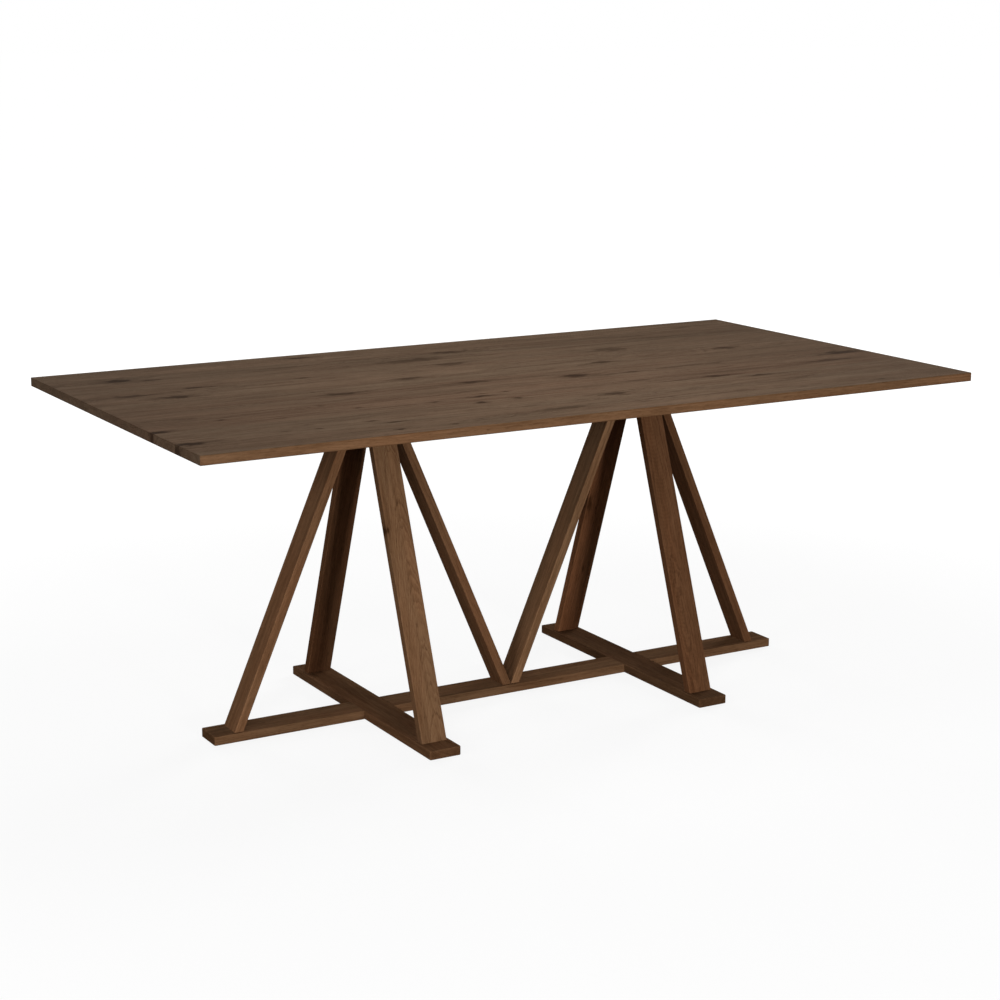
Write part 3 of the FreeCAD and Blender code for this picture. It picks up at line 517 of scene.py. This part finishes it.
# Tone and warmth are partly the wood and partly painted light and shade: the right front and right outer
# legs are darkened as painted shade on the right trestle, the left back leg is darker wood and darker still
# as painted shade, the right inner and right back legs are lightened where the lamps leave them in shade,
# and the back legs' warmth paints the reddish light bounced between the pieces.
dress_leg("left_front_leg", True, -1, 11.0, pith=(-0.012, -0.045), slope=0.075, ring=0.0018, tone=1.08,
          knots=[(0.098, 0.028, 0.020, 0.010, 1.0)])
dress_leg("left_back_leg", True, 1, 12.0, pith=(0.06, 0.05), slope=0.01, tone=0.66, warm=0.24)
dress_leg("left_outer_leg", False, -1, 13.0, pith=(0.09, 0.03), slope=0.006, tone=1.04, warm=0.08)
dress_leg("left_inner_leg", False, 1, 14.0, pith=(-0.07, 0.06), slope=0.01, tone=0.84, warm=0.12)
dress_leg("right_front_leg", True, -1, 15.0, pith=(0.012, -0.05), slope=0.004, ring=0.0019, tone=0.71,
          ripple=0.45, warm=0.22, loops=[(-0.187, 0.012, 0.13, 0.045, -0.0045)])
dress_leg("right_back_leg", True, 1, 16.0, pith=(0.05, -0.06), slope=-0.012, tone=1.08, warm=0.28,
          knots=[(0.02, 0.024, 0.05, 0.022, 0.8), (-0.175, -0.002, 0.03, 0.008, 0.6)])
dress_leg("right_inner_leg", False, -1, 17.0, pith=(0.08, 0.05), slope=0.008, tone=1.24, warm=-0.03)
dress_leg("right_outer_leg", False, 1, 18.0, pith=(-0.06, 0.05), slope=0.01, tone=0.69, warm=0.2)

# Dowels: beech pins with bevelled ends, two in each end of a leg, glued into the strip that it meets there.
# Raw beech is pale, with short brown flecks along its grain.

BEECH_PALE = (0.60, 0.43, 0.27, 1)
BEECH_BROWN = (0.48, 0.32, 0.19, 1)
BEECH_FLECK = (0.34, 0.20, 0.11, 1)
BEECH_STREAKS = (0.03, 0.002)
BEECH_FLECKS = (0.002, 0.0004)
BEECH_ROUGHNESS = (0.6, 0.75)


def make_beech():
    """Raw beech with its grain upright."""
    material = bpy.data.materials.new("raw_beech")
    material.use_nodes = True
    web = material.node_tree
    spot = put(web, "TexCoord").outputs["Object"]
    upright = put(web, "Mapping", {0: spot, 2: (0, -math.pi / 2, 0)}, vector_type="TEXTURE").outputs[0]
    flecks = ramp(web, fibres(web, upright, *BEECH_FLECKS), 0.58, 0.7)
    colour = tint(web, fibres(web, upright, *BEECH_STREAKS), BEECH_PALE, BEECH_BROWN)
    colour = tint(web, flecks, colour, BEECH_FLECK)
    shader = web.nodes["Principled BSDF"]
    web.links.new(colour, shader.inputs["Base Color"])
    web.links.new(ramp(web, flecks, 0, 1, *BEECH_ROUGHNESS), shader.inputs["Roughness"])
    return material


beech = make_beech()
finish_with("foot_dowels", beech)
finish_with("head_dowels", beech)

# Leg screws: one long countersunk screw draws each end of a leg tight to that strip, between the dowels.
# They are zinc plated like the lap screws, with their heads just below the wood.

finish_with("foot_screws", zinc)
finish_with("head_screws", zinc)

# Heads of the trestles: a bearer across the table and a short cleat along it, half-lapped and screwed.
# Both are oak strips like the feet, with their lower end edges cut back so that they don't catch a knee.

HEAD_SLOPE = 0.012
dress_strip("left_bearer", ACROSS_TABLE, 21.0, (0.03, 0.06), HEAD_SLOPE)
dress_strip("right_bearer", ACROSS_TABLE, 22.0, (-0.05, 0.05), HEAD_SLOPE)
dress_strip("left_cleat", ALONG_TABLE, 23.0, (0.04, -0.05), HEAD_SLOPE)
dress_strip("right_cleat", ALONG_TABLE, 24.0, (-0.02, 0.07), HEAD_SLOPE)
finish_with("head_lap_screws", zinc)

# Tabletop: eight full-length boards of knotty oak, glued edge to edge, sanded flush, stained and oiled.
# Every board has its own tone, rings and knots. Knots are (along, across, length, width, depth) in the
# table's frame: dark ovals, or streaks where the saw ran along a branch.

# The top boards are greyed where they look up and at their ends, partly as a painted sheen of light on the
# top.
TOP_GREYING = 0.22
TOP_BOARDS = {
    1: dict(tree=31.0, pith=(0.01, -0.09), slope=0.006, tone=1.085, knots=[
        (-0.925, -0.388, 0.090, 0.040, 1.0), (-0.475, -0.381, 0.055, 0.014, 0.8),
        (-0.100, -0.419, 0.150, 0.034, 0.43), (-0.506, -0.456, 0.018, 0.012, 0.9),
        (-0.387, -0.462, 0.018, 0.012, 0.9), (0.500, -0.456, 0.030, 0.008, 0.35),
        (0.712, -0.462, 0.045, 0.016, 0.36), (-0.317, -0.438, 0.050, 0.010, 0.4),
    ]),
    2: dict(tree=32.0, pith=(-0.03, -0.06), slope=-0.008, tone=1.085, knots=[
        (0.081, -0.327, 0.085, 0.042, 0.8), (-0.519, -0.350, 0.020, 0.012, 0.9),
        (0.512, -0.287, 0.095, 0.020, 0.85), (-0.219, -0.277, 0.026, 0.024, 0.85),
        (-0.127, -0.268, 0.026, 0.024, 0.9), (0.080, -0.285, 0.02, 0.006, 0.3),
        (-0.716, -0.366, 0.020, 0.010, 0.35), (-0.643, -0.369, 0.020, 0.010, 0.5),
        (-0.649, -0.322, 0.014, 0.008, 0.4),
    ]),
    3: dict(tree=33.0, pith=(0.05, 0.05), slope=0.010, tone=1.02, warm=0.10, knots=[
        (0.412, -0.250, 0.095, 0.028, 0.75), (0.310, -0.256, 0.10, 0.010, 0.5),
        (-0.944, -0.255, 0.065, 0.034, 1.0), (-0.187, -0.212, 0.060, 0.020, 0.92),
        (0.781, -0.197, 0.140, 0.026, 0.62), (0.225, -0.210, 0.085, 0.008, 0.6),
        (-0.304, -0.225, 0.024, 0.014, 0.9), (0.400, -0.204, 0.9, 0.004, 0.35),
        (-0.777, -0.190, 0.018, 0.012, 0.9), (-0.108, -0.187, 0.024, 0.014, 0.7),
        (-0.165, -0.187, 0.018, 0.010, 0.5), (-0.662, -0.236, 0.020, 0.008, 0.35),
        (-0.535, -0.143, 0.020, 0.012, 0.35), (-0.475, -0.205, 0.016, 0.012, 0.6),
    ]),
    4: dict(tree=34.0, pith=(-0.02, -0.08), slope=-0.006, tone=0.985, warm=0.06, knots=[
        (-0.435, -0.040, 0.085, 0.034, 0.8), (-0.115, -0.046, 0.090, 0.032, 0.87),
        (0.135, -0.090, 0.068, 0.044, 0.88), (0.212, -0.112, 0.10, 0.014, 0.4),
        (0.275, -0.106, 0.060, 0.018, 0.55), (0.881, -0.125, 0.110, 0.068, 0.72),
    ]),
    5: dict(tree=35.0, pith=(0.03, -0.10), slope=0.005, tone=1.11, knots=[
        (-0.760, 0.102, 0.085, 0.042, 0.84), (-0.215, 0.065, 0.060, 0.028, 0.72),
        (0.285, 0.044, 0.065, 0.032, 0.75), (0.675, 0.081, 0.064, 0.040, 0.75),
        (-0.478, 0.009, 0.014, 0.010, 0.45),
    ]),
    6: dict(tree=36.0, pith=(-0.04, 0.07), slope=0.008, tone=1.09, knots=[
        (-0.031, 0.196, 0.095, 0.040, 0.7), (-0.681, 0.190, 0.052, 0.024, 0.8),
        (-0.640, 0.185, 0.035, 0.010, 0.45), (-0.419, 0.190, 0.024, 0.016, 0.8),
        (-0.838, 0.156, 0.125, 0.032, 0.7), (0.406, 0.194, 0.130, 0.062, 0.5),
        (-0.590, 0.160, 0.12, 0.012, 0.3),
    ]),
    7: dict(tree=37.0, pith=(0.02, -0.07), slope=-0.007, tone=0.975, knots=[
        (-0.088, 0.285, 0.190, 0.058, 0.53), (0.037, 0.356, 0.095, 0.036, 0.7),
        (-0.800, 0.352, 0.070, 0.050, 1.0), (-0.725, 0.331, 0.070, 0.026, 0.6),
    ]),
    8: dict(tree=38.0, pith=(-0.03, 0.09), slope=0.006, tone=1.095, ripple=1.0, knots=[
        (-0.310, 0.450, 0.060, 0.034, 0.75),
    ]),
}
top_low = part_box("tabletop_board_1")[0]
top_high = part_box("tabletop_board_8")[1]
top_middle = (top_low + top_high) / 2
top_half = (top_high - top_low) / 2
for number, plank in TOP_BOARDS.items():
    name = f"tabletop_board_{number}"
    board_middle, _ = middle_and_half(name)
    aside, through = plank["pith"]
    figure = dict(plank, pith=(board_middle.y + aside, through), greying=TOP_GREYING)
    finish_with(name, oak(f"oak_{name}", top_middle, ALONG_TABLE, top_half, **figure))

# Bolts, washers and threaded inserts that hold the top: bolts with a domed head and a hexagon socket go up
# through the bearers and cleats into steel inserts in the top's underside. All are zinc plated.

finish_with("top_bolts", zinc)
finish_with("top_washers", zinc)
finish_with("top_inserts", zinc)

# Felt pads: seven round glides of pressed wool felt, stuck under the rail and the ends of the cross feet.
# They are punched from a sheet, so their cut edges are soft and a little hairy.

PAD_RADIUS = 0.010
PAD_SOFT_EDGE = 0.0006
PAD_SIDES = 64
FELT_DARK = (0.030, 0.024, 0.020, 1)
FELT_PALE = (0.085, 0.070, 0.058, 1)
FELT_PRESSED = (0.045, 0.036, 0.030, 1)
FELT_HAIRS_PER_METRE = (2600.0, 2600.0, 5200.0)
FELT_PATCHES_PER_METRE = (300.0, 300.0, 300.0)
FELT_ROUGHNESS = (0.85, 1.0)
FELT_SHEEN = 0.3
FELT_RELIEF = 0.0002


def make_felt():
    """Pressed wool felt, with pale hairs and darker pressed patches."""
    material = bpy.data.materials.new("pressed_felt")
    material.use_nodes = True
    web = material.node_tree
    spot = put(web, "TexCoord").outputs["Object"]
    hairs = noise(web, vectors(web, "MULTIPLY", spot, FELT_HAIRS_PER_METRE), 4.0)
    patches = noise(web, vectors(web, "MULTIPLY", spot, FELT_PATCHES_PER_METRE), 2.0)
    colour = tint(web, hairs, FELT_DARK, FELT_PALE)
    colour = tint(web, ramp(web, patches, 0.3, 0.7, 0.0, 0.4), colour, FELT_PRESSED)
    shader = web.nodes["Principled BSDF"]
    shader.inputs["Sheen Weight"].default_value = FELT_SHEEN
    web.links.new(colour, shader.inputs["Base Color"])
    web.links.new(ramp(web, hairs, 0.2, 0.8, *FELT_ROUGHNESS), shader.inputs["Roughness"])
    bump = put(web, "Bump", {"Height": hairs, "Distance": FELT_RELIEF, "Strength": 1.0}).outputs[0]
    web.links.new(bump, shader.inputs["Normal"])
    return material


def make_felt_pads():
    """All seven pads in one mesh: three under the rail and one under each end of a cross foot."""
    pad_low, pad_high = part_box("felt_pads")
    thickness = pad_high.z - pad_low.z
    rail_reach = pad_high.x - PAD_RADIUS
    foot_reach = pad_high.y - PAD_RADIUS
    places = [(0, 0), (-rail_reach, 0), (rail_reach, 0)]
    for foot in ("left_cross_foot", "right_cross_foot"):
        x = middle_and_half(foot)[0].x
        places += [(x, -foot_reach), (x, foot_reach)]
    shape = bmesh.new()
    for x, y in places:
        spot = Matrix.Translation((x, y, thickness / 2))
        made = bmesh.ops.create_cone(shape, cap_ends=True, segments=PAD_SIDES, radius1=PAD_RADIUS,
                                     radius2=PAD_RADIUS, depth=thickness, matrix=spot)
        rims = {edge for corner in made["verts"] for edge in corner.link_edges if not edge.is_wire}
        rims = [edge for edge in rims if abs(edge.verts[0].co.z - edge.verts[1].co.z) < thickness / 2]
        bmesh.ops.bevel(shape, geom=rims, offset=PAD_SOFT_EDGE, offset_type="OFFSET", affect="EDGES",
                        segments=4, profile=0.5, material=-1)
    mesh = bpy.data.meshes.new("felt_glides")
    shape.to_mesh(mesh)
    shape.free()
    mesh.shade_smooth()
    pads = bpy.data.objects.new("felt_glides", mesh)
    bpy.context.scene.collection.objects.link(pads)
    mesh.materials.append(make_felt())
    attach(pads, "root")
    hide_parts("felt_pads")


make_felt_pads()

# Studio: a plain pale floor and a white surround, which show white to the camera and in reflections and
# keep the table's shadow. Soft lamps stand low all round the table, and one hangs close overhead, so that
# the middle of the top is a little lighter than its ends.

FLOOR_SIZE = 160.0
FLOOR_GREY = (0.05, 0.05, 0.05, 1)
FLOOR_SHOWN = (0.15, 0.15, 0.15, 1)
FLOOR_GLOW = 0.88
FLOOR_GLOW_GROWS = (1.0, 4.0)
SURROUND_LIGHT = 0.01
LAMPS_AIM_AT = Vector((0, 0, 0.5))


def seen_directly(web):
    """1 where a ray comes from the camera, a reflection or glass, and 0 where it only lights."""
    path = put(web, "LightPath").outputs
    seen = sums(web, "MAXIMUM", path["Is Camera Ray"], path["Is Glossy Ray"])
    return sums(web, "MAXIMUM", seen, path["Is Transmission Ray"])


def make_floor():
    """A floor that throws little light back, and shows white with a faint shadow where it is seen."""
    shape = bmesh.new()
    bmesh.ops.create_grid(shape, x_segments=2, y_segments=2, size=FLOOR_SIZE / 2)
    mesh = bpy.data.meshes.new("studio_floor")
    shape.to_mesh(mesh)
    shape.free()
    floor = bpy.data.objects.new("studio_floor", mesh)
    bpy.context.scene.collection.objects.link(floor)
    material = bpy.data.materials.new("studio_floor")
    material.use_nodes = True
    web = material.node_tree
    web.nodes.remove(web.nodes["Principled BSDF"])
    spot = put(web, "TexCoord").outputs["Object"]
    away = vectors(web, "LENGTH", spot, outcome="Value")
    strength = ramp(web, away, *FLOOR_GLOW_GROWS, FLOOR_GLOW, 1.0)
    glow = put(web, "Emission", {"Strength": strength}).outputs[0]
    pale = put(web, "BsdfDiffuse", {"Color": FLOOR_SHOWN}).outputs[0]
    shown = put(web, "AddShader", {0: pale, 1: glow}).outputs[0]
    matt = put(web, "BsdfDiffuse", {"Color": FLOOR_GREY}).outputs[0]
    mixed = put(web, "MixShader", {0: seen_directly(web), 1: matt, 2: shown}).outputs[0]
    web.links.new(mixed, web.nodes["Material Output"].inputs["Surface"])
    mesh.materials.append(material)


def make_surround():
    """White where it is seen, and nearly dark as a light."""
    world = bpy.data.worlds.new("studio_surround")
    world.use_nodes = True
    web = world.node_tree
    level = sums(web, "MULTIPLY_ADD", seen_directly(web), 1.0 - SURROUND_LIGHT, SURROUND_LIGHT)
    background = web.nodes["Background"]
    background.inputs["Color"].default_value = (1, 1, 1, 1)
    web.links.new(level, background.inputs["Strength"])
    bpy.context.scene.world = world


def add_lamp(name, bearing, height, distance, size, level):
    """A square soft lamp that faces the table. Level 1 lights a facing white card to white. The bearing is
    in degrees, 0 from the front and -90 from the left; height is in degrees above the floor."""
    turn, rise = math.radians(bearing), math.radians(height)
    way = Vector((math.sin(turn) * math.cos(rise), -math.cos(turn) * math.cos(rise), math.sin(rise)))
    lamp = bpy.data.lights.new(name, "AREA")
    lamp.shape = "SQUARE"
    lamp.size = size
    lamp.energy = level * (math.pi * distance) ** 2
    placed = bpy.data.objects.new(name, lamp)
    bpy.context.scene.collection.objects.link(placed)
    placed.location = LAMPS_AIM_AT + way * distance
    placed.rotation_euler = (-way).to_track_quat("-Z", "Y").to_euler()


make_floor()
make_surround()
add_lamp("front_lamp", bearing=-1, height=4, distance=16.0, size=2.1, level=0.59)
add_lamp("fill_lamp", bearing=-35, height=22, distance=7.0, size=3.7, level=0.24)
add_lamp("left_lamp", bearing=-76, height=13, distance=8.0, size=3.2, level=0.34)
add_lamp("right_lamp", bearing=115, height=14, distance=8.0, size=3.2, level=0.68)
add_lamp("back_lamp", bearing=184, height=10, distance=8.0, size=3.0, level=0.55)
add_lamp("overhead_lamp", bearing=10, height=80, distance=1.47, size=0.7, level=0.31)

# Camera: at the photograph's point of view, about five metres off, to the left of the table's front and
# above its top. The lens is a long one, and the camera is rolled by a tenth of a degree.

CAMERA_PLACE = Vector((-2.394, -4.0944, 1.5492))
CAMERA_HEADING = math.radians(59.83)
CAMERA_DIP = math.radians(12.964)
CAMERA_ROLL = math.radians(0.104)
CAMERA_LENS = 75.84
CAMERA_SENSOR = 36


def add_camera():
    """The camera looks along its heading, dipped and rolled."""
    ahead = Vector((
        math.cos(CAMERA_HEADING) * math.cos(CAMERA_DIP),
        math.sin(CAMERA_HEADING) * math.cos(CAMERA_DIP),
        -math.sin(CAMERA_DIP),
    ))
    level = ahead.cross(Vector((0, 0, 1))).normalized()
    upright = level.cross(ahead)
    aim = Matrix((level, upright, -ahead)).transposed() @ Matrix.Rotation(CAMERA_ROLL, 3, "Z")
    camera = bpy.data.objects.new("camera", bpy.data.cameras.new("camera"))
    bpy.context.scene.collection.objects.link(camera)
    camera.matrix_world = Matrix.Translation(CAMERA_PLACE) @ aim.to_4x4()
    camera.data.lens = CAMERA_LENS
    camera.data.sensor_width = CAMERA_SENSOR
    bpy.context.scene.camera = camera


add_camera()
bpy.context.scene.view_settings.view_transform = "Standard"
